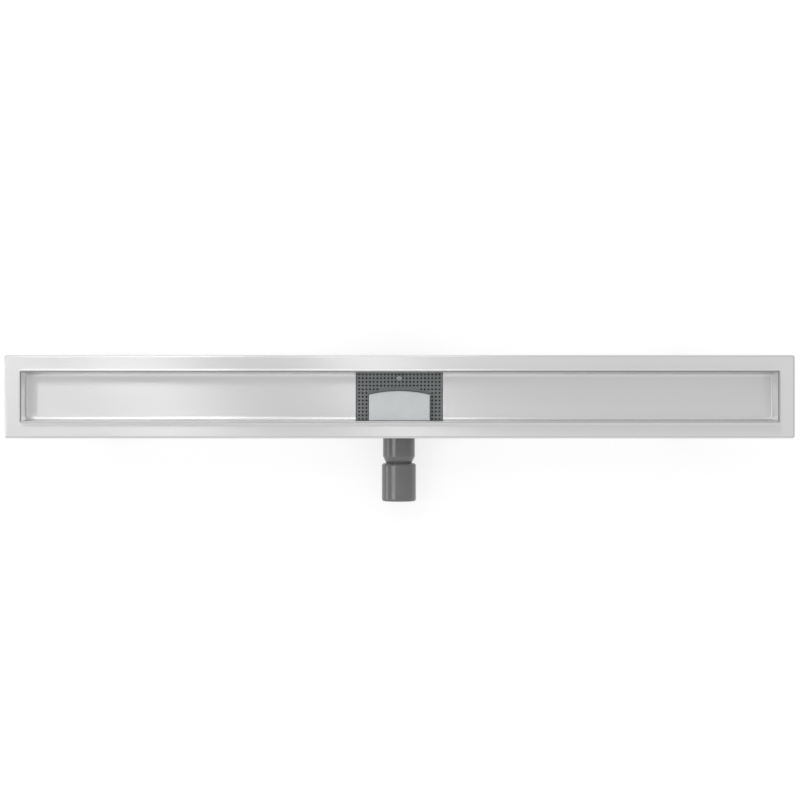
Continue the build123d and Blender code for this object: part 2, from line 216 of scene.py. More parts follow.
class DrainFinish(bpy.types.PropertyGroup):
    """Colours and gloss of the drain's materials."""

    stainless: colour("Stainless sheet", "Colour of the channel's steel", (0.76, 0.76, 0.76))
    stainless_roughness: factor("Stainless roughness", "Roughness of the channel's steel", 0.282)
    stainless_stretch: factor("Stainless stretch", "How far the brushing stretches a highlight", 1.0)
    stainless_turn: bpy.props.FloatProperty(
        name="Stainless turn", description="Turn of the stretched highlights on flat faces",
        default=radians(27), subtype="ANGLE"
    )
    # Painted shade: the fold colour paints a dark shade line on the rim's inner hem, and the two settings
    # below paint shade on the hem and on the flange's edge where they would reflect bright light.
    fold: colour("Fold", "Colour of the dark line inside the rim's fold", (0.2, 0.2, 0.2))
    dull_hem: factor("Dull hem", "How dull the sheet is on the rim's hem", 0.4)
    dull_edge: factor("Dull edge", "How dull the sheet is on the flange's edge", 0.22)
    rail: colour("Rail steel", "Colour of the foot rails", (0.42, 0.42, 0.43))
    zinc: colour("Zinc", "Colour of the plated fasteners", (0.36, 0.36, 0.37))
    sump: colour("Sump plastic", "Colour of the sump and the outlet sleeve", (0.142, 0.142, 0.142))
    strainer: colour("Strainer plastic", "Colour of the strainer", (0.195, 0.207, 0.208))
    lid: colour("Lid plastic", "Colour of the trap insert", (0.618, 0.646, 0.655))
    pad: colour("Pad plastic", "Colour of the foot pads", (0.04, 0.04, 0.042))
    rubber: colour("Rubber", "Colour of the seals", (0.02, 0.02, 0.02))
    brass: colour("Brass", "Colour of the threaded insert", (0.72, 0.53, 0.22))


class DrainStage(bpy.types.PropertyGroup):
    """Camera, light and floor."""

    lens: bpy.props.FloatProperty(
        name="Lens", description="Focal length in millimetres", default=85.0, min=10, unit="CAMERA"
    )
    camera_height: length("Camera height", "Height of the camera above the floor", 2240.0)
    camera_x: length("Camera shift along", "How far the camera stands to the left", 24.5)
    view_shift: bpy.props.FloatProperty(
        name="View shift", description="Sideways shift of the camera's view, in picture widths",
        default=0.0275
    )
    camera_y: length("Camera shift across", "How far the camera stands to the front", 3.75)
    ceiling_light: factor("Ceiling light", "Strength of the even light from above", 0.78)
    wall_light: brightness("Wall light", "Strength of the light from the walls in front and behind", 1.15)
    box_light: brightness("Light boxes", "Brightness of the light boxes above and behind", 5.1)
    far_light: brightness("Far box", "Brightness of the light box further behind", 1.0)
    back_light: brightness("Back lamps", "Brightness of the low lamps behind the drain", 2.7)
    side_light: brightness("Side box", "Brightness of the wide light box on the left", 4.0)
    low_light: brightness("Low box", "Brightness of the light box that stands on the left", 3.5)
    floor: colour("Floor", "Colour of the floor", (0.8, 0.8, 0.8))
    floor_shade: factor("Floor shade", "How strongly the drain's shadow shows on the floor", 0.3)


def feed(tree, node, inputs):
    """Sets a node's inputs to values or links them to other nodes."""
    for name, source in inputs.items():
        if isinstance(source, bpy.types.NodeSocket):
            tree.links.new(source, node.inputs[name])
        else:
            node.inputs[name].default_value = source


def add_node(tree, kind, inputs=None, **settings):
    """A new node with its settings and its inputs."""
    node = tree.nodes.new(kind)
    for name, value in settings.items():
        setattr(node, name, value)
    feed(tree, node, inputs or {})
    return node


def add_object(name, data):
    """A new object at the scene's origin."""
    made = bpy.data.objects.new(name, data)
    bpy.context.scene.collection.objects.link(made)
    return made


def new_material(slot):
    """A material for a slot, with its shader and the object's coordinates."""
    material = bpy.data.materials.new("drain_" + slot)
    material.use_nodes = True
    tree = material.node_tree
    shader = tree.nodes["Principled BSDF"]
    place = tree.nodes.new("ShaderNodeTexCoord").outputs["Object"]
    return material, tree, shader, place


def noise(tree, place, scale, detail, stretch=(1, 1, 1)):
    """Noise on stretched object coordinates."""
    mapping = add_node(tree, "ShaderNodeMapping", {"Vector": place, "Scale": stretch})
    texture = add_node(
        tree, "ShaderNodeTexNoise", {"Vector": mapping.outputs["Vector"], "Scale": scale, "Detail": detail}
    )
    return texture.outputs["Fac"]


def spread(tree, value, middle, reach):
    """A noise value spread to both sides of a number."""
    low, high = NOISE_RANGE
    node = add_node(tree, "ShaderNodeMapRange", {
        0: value, 1: low, 2: high, 3: middle - reach, 4: middle + reach,
    })
    return node.outputs[0]


def tinted(tree, value, tone, amount):
    """A colour that varies a little with a noise value."""
    darker = [channel * (1 - amount) for channel in tone] + [1]
    lighter = [min(1, channel * (1 + amount)) for channel in tone] + [1]
    node = add_node(
        tree, "ShaderNodeMix", {0: spread(tree, value, 0.5, 0.5), 6: darker, 7: lighter}, data_type="RGBA"
    )
    return node.outputs[2]


def bump(tree, value, strength, height):
    """Fine relief from a noise value."""
    node = add_node(tree, "ShaderNodeBump", {"Strength": strength, "Distance": height, "Height": value})
    return node.outputs["Normal"]


def stainless_sheet(finish):
    """Fine brushed stainless steel, turned by its Grain map, with painted shade blended in by its Fold map.
    """
    material, tree, shader, place = new_material("stainless_sheet")
    grain = noise(tree, place, scale=1, detail=3, stretch=(12, 2200, 2200))
    cloud = noise(tree, place, scale=9, detail=2)
    streak = spread(tree, grain, 0, reach=0.002)
    smear = spread(tree, cloud, finish.stainless_roughness, reach=0.005)
    rough = add_node(tree, "ShaderNodeMath", {0: streak, 1: smear}, operation="ADD")
    # Painted shade: the Fold map blends the steel's colour toward the dark fold colour on the rim's hem and
    # the flange's edge.
    fold = add_node(tree, "ShaderNodeUVMap", uv_map="Fold")
    folded = add_node(tree, "ShaderNodeSeparateXYZ", {0: fold.outputs[0]})
    tone = add_node(tree, "ShaderNodeMix", {
        0: folded.outputs[0], 6: tinted(tree, grain, finish.stainless, amount=0.005), 7: [*finish.fold, 1],
    }, data_type="RGBA")
    tangent = add_node(tree, "ShaderNodeTangent", direction_type="UV_MAP", uv_map="Grain")
    feed(tree, shader, {
        "Base Color": tone.outputs[2],
        "Metallic": 1,
        "Roughness": rough.outputs[0],
        "Anisotropic": finish.stainless_stretch,
        "Tangent": tangent.outputs[0],
        "Normal": bump(tree, grain, strength=0.01, height=0.00005),
    })
    return material


def plated_metal(slot, tone, roughness):
    """Plated, rolled or turned metal with faint clouds and a fine grain."""
    material, tree, shader, place = new_material(slot)
    cloud = noise(tree, place, scale=60, detail=4)
    grain = noise(tree, place, scale=1800, detail=2)
    feed(tree, shader, {
        "Base Color": tinted(tree, cloud, tone, amount=0.08),
        "Metallic": 1,
        "Roughness": spread(tree, cloud, roughness, reach=0.06),
        "Normal": bump(tree, grain, strength=0.06, height=0.0001),
    })
    return material


def moulded_plastic(slot, tone, roughness, relief):
    """Moulded plastic with a fine texture and slight clouds in its colour."""
    material, tree, shader, place = new_material(slot)
    cloud = noise(tree, place, scale=45, detail=3)
    texture = noise(tree, place, scale=2600, detail=2)
    feed(tree, shader, {
        "Base Color": tinted(tree, cloud, tone, amount=0.03),
        "Roughness": spread(tree, cloud, roughness, reach=0.04),
        "Normal": bump(tree, texture, strength=relief, height=0.0001),
    })
    return material


def finish_for(slot):
    """The material of one of the record's slots, made once."""
    made = bpy.data.materials.get("drain_" + slot)
    if made is not None:
        return made
    finish = bpy.context.scene.drain_finish
    if slot == "stainless_sheet":
        return stainless_sheet(finish)
    if slot in METALS:
        tone, roughness = METALS[slot]
        return plated_metal(slot, getattr(finish, tone), roughness)
    tone, roughness, relief = MOULDINGS[slot]
    return moulded_plastic(slot, getattr(finish, tone), roughness, relief)


def add_piece(name, mesh, slot, *nodes):
    """An object at the origin that stands for CAD nodes."""
    piece = add_object(name, mesh)
    if not mesh.materials:
        mesh.materials.append(finish_for(slot))
    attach(piece, "root")
    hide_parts(*nodes)
    return piece


def finished_mesh(shape, name, sharp_angle):
    """A mesh from a shape, with closed seams, outward faces and smooth shading up to an angle."""
    bmesh.ops.remove_doubles(shape, verts=shape.verts, dist=1e-6)
    bmesh.ops.recalc_face_normals(shape, faces=shape.faces)
    mesh = bpy.data.meshes.new(name)
    shape.to_mesh(mesh)
    shape.free()
    smooth(mesh, sharp_angle)
    return mesh


def smooth(mesh, sharp_angle):
    """Smooth shading with sharp edges above an angle in degrees."""
    mesh.shade_smooth()
    mesh.set_sharp_from_angle(angle=radians(sharp_angle))


def with_modifier(mesh, kind, prepare):
    """The plain mesh that a modifier makes of a mesh, with the modifier taken off again."""
    holder = add_object("modifier_holder", mesh)
    modifier = holder.modifiers.new("modifier", kind)
    prepare(modifier)
    graph = bpy.context.evaluated_depsgraph_get()
    made = bpy.data.meshes.new_from_object(holder.evaluated_get(graph), depsgraph=graph)
    holder.modifiers.remove(modifier)
    bpy.data.objects.remove(holder)
    bpy.data.meshes.remove(mesh)
    return made


def flat_faces_kept(mesh):
    """The same mesh, shaded so that large flat faces stay flat beside their bends."""
    def prepare(modifier):
        modifier.mode = "FACE_AREA"
        modifier.weight = 100
        modifier.keep_sharp = True

    return with_modifier(mesh, "WEIGHTED_NORMAL", prepare)


def arc(steps):
    """Angles over a quarter turn, both ends included."""
    return [pi / 2 * step / steps for step in range(steps + 1)]


def frame_loop(half_x, half_y, corner, z, middle, steps=6):
    """Points round a rounded rectangle, with a point each side of the middle on its long sides."""
    corner = max(corner, 0)
    points = [(middle, -half_y)]
    for quarter, (side_x, side_y) in enumerate(((1, -1), (1, 1), (-1, 1), (-1, -1))):
        if quarter == 2:
            points += [(middle, half_y), (-middle, half_y)]
        for angle in arc(steps):
            turn = angle + (quarter - 1) * pi / 2
            points.append((side_x * (half_x - corner) + corner * cos(turn),
                           side_y * (half_y - corner) + corner * sin(turn)))
    points.append((-middle, -half_y))
    return [(x, y, z) for x, y in points]


def add_face(shape, corners):
    """A face on points of its own."""
    shape.faces.new([shape.verts.new(corner) for corner in corners])


def bridge(shape, first, second, skip=()):
    """Faces between two loops of points with the same count."""
    count = len(first)
    for index in range(count):
        if index not in skip:
            after = (index + 1) % count
            add_face(shape, [first[index], first[after], second[after], second[index]])


def bridge_all(shape, loops):
    """Faces through a row of loops."""
    for first, second in zip(loops, loops[1:]):
        bridge(shape, first, second)


class TrayShape:
    """Works out the tray's folded surfaces from its sizes."""

    # Steps of a sheet bend, of the trough's two roundings and of the collar's edge.
    steps = 6
    side_steps = 12
    end_steps = 16
    edge_steps = 4
    # How far a supporting loop stands off a bend.
    support = 0.0004

    def __init__(self, tray):
        self.tray = tray
        self.half_x = tray.opening_length / 2
        self.half_y = tray.opening_width / 2
        self.rim_top = TRAY_HIGH[2]
        self.flange_top = self.rim_top - tray.rim_height
        self.floor = self.rim_top - tray.depth
        self.bottom = TRAY_LOW[2]
        self.flange_x = TRAY_HIGH[0]
        self.flange_y = TRAY_HIGH[1]
        self.middle = tray.collar_length / 2
        self.shape = bmesh.new()
        # How far in and how far down a quarter bend goes, for a radius of one.
        self.quarter = [(1 - cos(angle), 1 - sin(angle)) for angle in arc(self.steps)]

    def flange_loop(self, inset, z):
        """A loop drawn in from the flange's outline."""
        return frame_loop(self.flange_x - inset, self.flange_y - inset,
                          self.tray.flange_corner - inset, z, self.middle)

    def rim_loop(self, grow, z):
        """A loop grown from the opening's outline."""
        corner = self.tray.rim_corner - 2 * self.tray.sheet + grow
        return frame_loop(self.half_x + grow, self.half_y + grow, corner, z, self.middle)

    def upper_loops(self):
        """From the foot of the flange's lip over the flange and the rim to the opening."""
        tray = self.tray
        edge, bend, hem = tray.flange_edge, tray.bend, tray.hem
        wall = 2 * tray.sheet
        loops = [self.flange_loop(0, self.flange_top - tray.flange_lip),
                 self.flange_loop(0, self.flange_top - edge - self.support)]
        for inwards, down in self.quarter:
            loops.append(self.flange_loop(edge * inwards, self.flange_top - edge * down))
        loops.append(self.flange_loop(edge + self.support, self.flange_top))
        loops.append(self.rim_loop(wall + bend + self.support, self.flange_top))
        for upwards, outwards in self.quarter:
            loops.append(self.rim_loop(wall + bend * outwards, self.flange_top + bend * upwards))
        loops.append(self.rim_loop(wall, self.flange_top + bend + self.support))
        loops.append(self.rim_loop(wall, self.rim_top - hem - self.support))
        for inwards, down in self.quarter:
            loops.append(self.rim_loop(wall - hem * inwards, self.rim_top - hem * down))
        for outwards, down in reversed(self.quarter):
            loops.append(self.rim_loop(hem * outwards, self.rim_top - hem * down))
        loops.append(self.rim_loop(0, self.rim_top - hem - self.support))
        return loops

    def under_loops(self):
        """From the trough's outside under the flange to the foot of its lip."""
        tray = self.tray
        sheet = tray.sheet
        edge = tray.flange_edge - sheet
        level = self.flange_top - sheet
        loops = [frame_loop(self.half_x + sheet, self.half_y + sheet, 0, level, self.middle + sheet),
                 self.flange_loop(sheet + edge + self.support, level)]
        for inwards, down in reversed(self.quarter):
            loops.append(self.flange_loop(sheet + edge * inwards, level - edge * down))
        loops.append(self.flange_loop(sheet, level - edge - self.support))
        loops.append(self.flange_loop(sheet, self.flange_top - tray.flange_lip))
        loops.append(self.flange_loop(0, self.flange_top - tray.flange_lip))
        return loops

    def heights(self, side, end):
        """Levels above the floor that follow both roundings."""
        levels = {round(side * (1 - cos(angle)), 7) for angle in arc(self.side_steps)}
        levels |= {round(end * (1 - cos(angle)), 7) for angle in arc(self.end_steps)}
        return sorted(levels)

    def rounding(self, radius, level):
        """How far a rounded wall stands in at a level above the floor."""
        if level >= radius:
            return 0
        return radius - sqrt(radius**2 - (radius - level) ** 2)

    def trough(self, wall, top, foot, edge):
        """The trough's surface, grown by a wall, with the collar cut through its floor."""
        side = self.tray.side_radius + wall
        end = self.tray.end_radius + wall
        floor = self.floor - wall
        half_x = self.half_x + wall
        half_y = self.half_y + wall
        middle = self.middle + wall
        loops = []
        slopes = []
        for level in self.heights(side, end):
            slope = acos(max(-1, 1 - level / side)) if level < side else pi / 2
            loops.append(frame_loop(half_x - self.rounding(end, level), half_y - self.rounding(side, level),
                                    0, floor + level, middle + edge * cos(slope)))
            slopes.append(slope)
        last = len(loops[0]) - 1
        back = last // 2
        below = sum(slope < pi / 2 - 1e-6 for slope in slopes)
        for index, (lower, upper) in enumerate(zip(loops, loops[1:])):
            bridge(self.shape, lower, upper, (back, last) if index < below else ())
        bridge(self.shape, loops[-1], top)
        for side_x in (-1, 1):
            halves = [loop[:back + 1] if side_x > 0 else loop[:back:-1] for loop in loops[:below + 1]]
            lowest = halves[0]
            add_face(self.shape, [lowest[0], lowest[1], lowest[-2], lowest[-1]])
            rim = [(half[0], slope, -1) for half, slope in zip(halves, slopes)]
            rim.reverse()
            rim += [(half[-1], slope, 1) for half, slope in zip(halves, slopes)]
            feet = [(side_x * middle, side_y * half_y, foot) for side_y in (1, -1)]
            self.collar_end(side_x, rim, feet, edge)
        for side_y in (-1, 1):
            corners = rectangle(-middle, middle, floor + side, foot)
            add_face(self.shape, [(x, side_y * half_y, z) for x, z in corners])

    def collar_end(self, side_x, rim, feet, edge):
        """One end wall of the collar, with the rounded edge where the floor bends down."""
        rows = []
        for turn in arc(self.edge_steps) if edge else [0]:
            row = []
            for (_, y, z), slope, side_y in rim:
                radius = edge * cos(slope)
                drop = radius * (1 - cos(turn))
                row.append((feet[0][0] + side_x * radius * (1 - sin(turn)),
                            y + side_y * drop * sin(slope), z - drop * cos(slope)))
            rows.append(row)
        for first, second in zip(rows, rows[1:]):
            bridge(self.shape, first, second, (len(first) - 1,))
        add_face(self.shape, rows[-1] + feet)

    def lip(self):
        """The lip round the collar's foot."""
        tray = self.tray
        sheet = tray.sheet
        reach = sheet + tray.collar_lip

        def ring(grow, corner, z):
            return frame_loop(self.middle + grow, self.half_y + grow, corner, z, self.middle / 2)

        bridge_all(self.shape, [
            ring(0, 0, self.bottom), ring(reach, tray.collar_corner, self.bottom),
            ring(reach, tray.collar_corner, self.bottom + sheet), ring(sheet, 0, self.bottom + sheet),
        ])

    def build(self):
        """The whole tray as one closed shape."""
        upper = self.upper_loops()
        under = self.under_loops()
        bridge_all(self.shape, upper)
        bridge_all(self.shape, under)
        self.trough(0, upper[-1], self.bottom, self.tray.collar_edge)
        self.trough(self.tray.sheet, under[0], self.bottom + self.tray.sheet, 0)
        self.lip()
        return self.shape


def lay_grain(mesh, turn):
    """A map whose first direction runs across the brushing, turned on the level faces."""
    layer = mesh.uv_layers.new(name="Grain")
    for face in mesh.polygons:
        level = abs(face.normal.z) > 0.999
        end_wall = abs(face.normal.x) > abs(face.normal.y)
        for corner in face.loop_indices:
            x, y, z = mesh.vertices[mesh.loops[corner].vertex_index].co
            if level:
                across, along = y * cos(turn) - x * sin(turn), x * cos(turn) + y * sin(turn)
            elif end_wall:
                across, along = y, x + (z if face.center.x > 0 else -z)
            else:
                across, along = y + (z if face.center.y > 0 else -z), x
            layer.data[corner].uv = (across, along)


def mark_folds(mesh, tray, finish):
    """A map of painted shade on the sheet's folds: the flange's edge and the rim's hem, darkest inside the
    opening but not at the front.
    """
    layer = mesh.uv_layers.new(name="Fold")
    for face in mesh.polygons:
        x, y, z = face.center
        outside = max(abs(x) - tray.opening_length / 2, abs(y) - tray.opening_width / 2)
        edge = max(abs(x) - TRAY_HIGH[0], abs(y) - TRAY_HIGH[1]) + tray.flange_edge
        front = abs(x) < tray.opening_length / 2 and y < 0
        hem = outside > 0 and z > TRAY_HIGH[2] - tray.hem
        # Painted shade: full on the hem's inner rounding except at the front, partial on the rest of the
        # hem and on the flange's edge.
        shade = finish.dull_edge if edge > 0 else 0
        if hem:
            shade = 1 if outside < tray.hem and not front else finish.dull_hem
        for corner in face.loop_indices:
            layer.data[corner].uv = (shade, 0)


def crease_mitres(mesh):
    """Sharp edges where a bend along a side meets a bend along an end."""
    slight = 0.001
    beside = {}
    for face in mesh.polygons:
        bent_x = abs(face.normal.x) > slight
        bent_y = abs(face.normal.y) > slight
        for key in face.edge_keys:
            beside.setdefault(key, set()).add((bent_x, bent_y))
    for edge in mesh.edges:
        if {(True, False), (False, True)} <= beside[edge.key]:
            edge.use_edge_sharp = True


class DRAIN_OT_tray(bpy.types.Operator):
    """Fold the channel tray from one sheet"""

    bl_idname = "drain.tray"
    bl_label = "Channel Tray"

    def execute(self, context):
        shape = TrayShape(context.scene.drain_tray).build()
        mesh = finished_mesh(shape, "channel_tray_sheet", sharp_angle=32)
        lay_grain(mesh, context.scene.drain_finish.stainless_turn)
        mark_folds(mesh, context.scene.drain_tray, context.scene.drain_finish)
        crease_mitres(mesh)
        mesh = flat_faces_kept(mesh)
        add_piece("channel_tray_sheet", mesh, "stainless_sheet", "channel_tray")
        return {"FINISHED"}


class Tree:
    """A Geometry Nodes tree with named inputs."""

    def __init__(self, name):
        self.group = bpy.data.node_groups.new(name, "GeometryNodeTree")
        self.group.interface.new_socket("Geometry", in_out="INPUT", socket_type="NodeSocketGeometry")
        self.group.interface.new_socket("Geometry", in_out="OUTPUT", socket_type="NodeSocketGeometry")
        self.inputs = self.group.nodes.new("NodeGroupInput")
        self.output = self.group.nodes.new("NodeGroupOutput")
        self.start = self.inputs.outputs["Geometry"]
        self.identifiers = {}

    def take(self, *names, kind="NodeSocketFloat"):
        """Named inputs of the tree, in order."""
        for name in names:
            socket = self.group.interface.new_socket(name, in_out="INPUT", socket_type=kind)
            self.identifiers[name] = socket.identifier
        return [self.inputs.outputs[name] for name in names]

    def add(self, kind, inputs=None, **settings):
        """A node of the tree."""
        return add_node(self.group, kind, inputs, **settings)

    def result(self, kind, inputs=None, **settings):
        """The first result of a new node."""
        return self.add(kind, inputs, **settings).outputs[0]

    def maths(self, operation, *values):
        """A maths node's result."""
        return self.result("ShaderNodeMath", dict(enumerate(values)), operation=operation)

    def sums(self):
        """Shorthands for adding, taking away and multiplying."""
        return [partial(self.maths, operation) for operation in ("ADD", "SUBTRACT", "MULTIPLY")]

    def place(self):
        """The three coordinates of each point."""
        position = self.result("GeometryNodeInputPosition")
        return self.add("ShaderNodeSeparateXYZ", {0: position}).outputs

    def put(self, points, instance):
        """Copies of an instance on points."""
        return self.result("GeometryNodeInstanceOnPoints", {"Points": points, "Instance": instance})

    def moved(self, geometry, offset):
        """Geometry moved by the coordinates in a dict of axes."""
        shift = self.result("ShaderNodeCombineXYZ", offset)
        return self.result("GeometryNodeTransform", {"Geometry": geometry, "Translation": shift})

    def finish(self, geometry):
        """Ends the tree with real geometry and its material."""
        real = self.result("GeometryNodeRealizeInstances", {"Geometry": geometry})
        [material] = self.take("Material", kind="NodeSocketMaterial")
        done = self.result("GeometryNodeSetMaterial", {"Geometry": real, "Material": material})
        self.group.links.new(done, self.output.inputs["Geometry"])

    def run(self, mesh, values):
        """A plain mesh that the tree makes from a mesh and its input values."""
        def prepare(modifier):
            modifier.node_group = self.group
            for name, value in values.items():
                modifier[self.identifiers[name]] = value

        made = with_modifier(mesh, "NODES", prepare)
        if not made.polygons:
            raise RuntimeError("the tree made no faces: " + self.group.name)
        return made


def point_mesh(points):
    """A mesh of loose points."""
    mesh = bpy.data.meshes.new("points")
    mesh.from_pydata([tuple(point) for point in points], [], [])
    return mesh


def holes_tree():
    """Cuts rows of chamfered holes, leaving out the lid's place and the screw's."""
    tree = Tree("strainer_holes")
    plus, minus, times = tree.sums()
    columns, rows = tree.take("Columns", "Rows", kind="NodeSocketInt")
    pitch_x, pitch_y = tree.take("Column Pitch", "Row Pitch")
    radius, chamfer = tree.take("Hole Radius", "Hole Chamfer")
    top, plate = tree.take("Plate Top", "Plate")
    lid_half, arch_radius, arch_centre = tree.take("Lid Half Width", "Arch Radius", "Arch Centre")
    side_margin, arch_margin = tree.take("Side Margin", "Arch Margin")
    screw_y, screw_radius = tree.take("Screw Place", "Screw Hole Radius")

    grid = tree.result("GeometryNodeMeshGrid", {
        "Size X": times(minus(columns, 1), pitch_x), "Size Y": times(minus(rows, 1), pitch_y),
        "Vertices X": columns, "Vertices Y": rows,
    })
    place = tree.place()
    reach_x = tree.maths("ABSOLUTE", place[0])
    within = tree.maths("MINIMUM", reach_x, lid_half)
    square = minus(tree.maths("POWER", arch_radius, 2), tree.maths("POWER", within, 2))
    arch_y = plus(arch_centre, tree.maths("SQRT", square))
    beside = tree.maths("GREATER_THAN", reach_x, plus(plus(lid_half, side_margin), radius))
    behind = tree.maths("GREATER_THAN", place[1], plus(plus(arch_y, arch_margin), radius))
    near_x = tree.maths("LESS_THAN", reach_x, times(pitch_x, 0.5))
    offset_y = tree.maths("ABSOLUTE", minus(place[1], screw_y))
    near_y = tree.maths("LESS_THAN", offset_y, times(pitch_y, 0.5))
    kept = minus(tree.maths("MAXIMUM", beside, behind), times(near_x, near_y))
    dropped = tree.maths("LESS_THAN", kept, 0.5)
    points = tree.result("GeometryNodeDeleteGeometry", {"Geometry": grid, "Selection": dropped})

    middle = minus(top, times(plate, 0.5))
    drill = tree.result("GeometryNodeMeshCylinder", {
        "Vertices": HOLE_SIDES, "Radius": radius, "Depth": times(plate, 2),
    })
    sink = tree.result("GeometryNodeMeshCone", {
        "Vertices": HOLE_SIDES, "Radius Top": plus(radius, times(chamfer, 2)), "Radius Bottom": radius,
        "Depth": times(chamfer, 2),
    })
    cutters = []
    for cutter, height in ((drill, middle), (sink, minus(top, chamfer))):
        placed = tree.put(points, tree.moved(cutter, {2: height}))
        cutters.append(tree.result("GeometryNodeRealizeInstances", {"Geometry": placed}))
    screw_drill = tree.result("GeometryNodeMeshCylinder", {
        "Vertices": SCREW_HOLE_SIDES, "Radius": screw_radius, "Depth": times(plate, 2),
    })
    cutters.append(tree.moved(screw_drill, {1: screw_y, 2: middle}))
    solid = tree.start
    for cutter in cutters:
        solid = tree.result("GeometryNodeMeshBoolean", {
            "Mesh 1": solid, "Mesh 2": cutter,
        }, operation="DIFFERENCE", solver="EXACT")
    tree.finish(solid)
    return tree


def strainer_outline(strainer, inset):
    """The strainer's outline, cut out round the lid and drawn in by an inset."""
    half_x = STRAINER_HIGH[0] - inset
    back = STRAINER_HIGH[1] - inset
    front = STRAINER_LOW[1] + inset
    grow = strainer.lid_gap + inset
    half_lid = strainer.lid_half + grow
    radius, centre = lid_arch(strainer)
    radius += grow
    reach = acos(half_lid / radius)
    points = [(half_lid, front), (half_x, front), (half_x, back)]
    points += [(-x, y) for x, y in reversed(points)]
    for step in range(ARCH_STEPS + 1):
        turn = pi - reach - (pi - 2 * reach) * step / ARCH_STEPS
        points.append((radius * cos(turn), centre + radius * sin(turn)))
    return points


def lid_arch(strainer):
    """Radius and centre of the lid's arch."""
    radius = (strainer.lid_half**2 + strainer.lid_rise**2) / (2 * strainer.lid_rise)
    return radius, strainer.lid_crown - radius


def raised(shape, outlines):
    """A closed solid through outlines given as (points, level), from the bottom up."""
    loops = [[(x, y, level) for x, y in points] for points, level in outlines]
    bridge_all(shape, loops)
    for cap in (loops[0], loops[-1]):
        add_face(shape, cap)


def rectangle(x0, x1, y0, y1):
    """Corners of a rectangle."""
    return [(x0, y0), (x1, y0), (x1, y1), (x0, y1)]


def circle(x, y, radius, sides):
    """Points round a circle."""
    return [(x + radius * cos(2 * pi * side / sides), y + radius * sin(2 * pi * side / sides))
            for side in range(sides)]


class DRAIN_OT_strainer(bpy.types.Operator):
    """Make the perforated strainer round the lid"""

    bl_idname = "drain.strainer"
    bl_label = "Strainer"

    def execute(self, context):
        strainer = context.scene.drain_strainer
        top = STRAINER_HIGH[2]
        under = top - strainer.plate
        foot = STRAINER_LOW[2]
        screw_y = (SCREW_LOW[1] + SCREW_HIGH[1]) / 2
        radius, centre = lid_arch(strainer)
        plate = bmesh.new()
        outline = strainer_outline(strainer, 0)
        drawn_in = strainer_outline(strainer, strainer.edge)
        raised(plate, [(outline, under), (outline, top - strainer.edge), (drawn_in, top)])
        holed = holes_tree().run(finished_mesh(plate, "strainer_plate", sharp_angle=30), {
            "Columns": strainer.columns,
            "Rows": strainer.rows,
            "Column Pitch": strainer.pitch_x,
            "Row Pitch": strainer.pitch_y,
            "Hole Radius": strainer.hole / 2,
            "Hole Chamfer": strainer.chamfer,
            "Plate Top": top,
            "Plate": strainer.plate,
            "Lid Half Width": strainer.lid_half,
            "Arch Radius": radius,
            "Arch Centre": centre,
            "Side Margin": strainer.side_margin,
            "Arch Margin": strainer.arch_margin,
            "Screw Place": screw_y,
            "Screw Hole Radius": strainer.screw_hole,
            "Material": finish_for("strainer_plastic"),
        })
        shape = bmesh.new()
        shape.from_mesh(holed)
        for side in (-1, 1):
            near, far = sorted((side * STRAINER_HIGH[0], side * (STRAINER_HIGH[0] - strainer.end_wall)))
            wall = rectangle(near, far, STRAINER_LOW[1], STRAINER_HIGH[1])
            raised(shape, [(wall, foot), (wall, under)])
        outer = circle(0, screw_y, strainer.tube, SCREW_HOLE_SIDES)
        inner = circle(0, screw_y, strainer.screw_hole, SCREW_HOLE_SIDES)
        tube = [[(x, y, z) for x, y in ring] for ring, z in
                ((outer, foot), (outer, under), (inner, under), (inner, foot), (outer, foot))]
        bridge_all(shape, tube)
        mesh = finished_mesh(shape, "strainer_moulding", sharp_angle=30)
        add_piece("strainer_moulding", mesh, "strainer_plastic", "strainer")
        return {"FINISHED"}


def thread_tree():
    """Threaded rods that stand on points."""
    tree = Tree("threaded_rods")
    plus, minus, times = tree.sums()
    radius, size, pitch, depth = tree.take("Radius", "Length", "Pitch", "Depth")
    [rings] = tree.take("Rings", kind="NodeSocketInt")
    rod = tree.result("GeometryNodeMeshCylinder", {
        "Vertices": THREAD_SIDES, "Side Segments": rings, "Radius": radius, "Depth": size,
    })
    place = tree.place()
    turn = tree.maths("DIVIDE", tree.maths("ARCTAN2", place[1], place[0]), 2 * pi)
    phase = plus(turn, tree.maths("DIVIDE", place[2], pitch))
    wave = times(tree.maths("PINGPONG", phase, 0.5), 2)
    from_end = minus(times(size, 0.5), tree.maths("ABSOLUTE", place[2]))
    point = minus(1, tree.maths("DIVIDE", from_end, times(pitch, THREAD_POINT)))
    inwards = times(tree.maths("MAXIMUM", wave, point), times(depth, -1))
    flat = tree.result("ShaderNodeCombineXYZ", {0: place[0], 1: place[1]})
    away = tree.result("ShaderNodeVectorMath", {0: flat}, operation="NORMALIZE")
    offset = tree.result("ShaderNodeVectorMath", {0: away, "Scale": inwards}, operation="SCALE")
    cut = tree.result("GeometryNodeSetPosition", {"Geometry": rod, "Offset": offset})
    tree.finish(tree.put(tree.start, cut))
    return tree


def threaded(tree, points, radius, size, pitch):
    """A mesh of threaded steel rods on points."""
    mesh = tree.run(point_mesh(points), {
        "Radius": radius,
        "Length": size,
        "Pitch": pitch,
        "Depth": pitch * THREAD_DEPTH,
        "Rings": int(round(size / pitch * THREAD_RINGS)),
        "Material": finish_for("fastener_steel"),
    })
    smooth(mesh, sharp_angle=40)
    return mesh


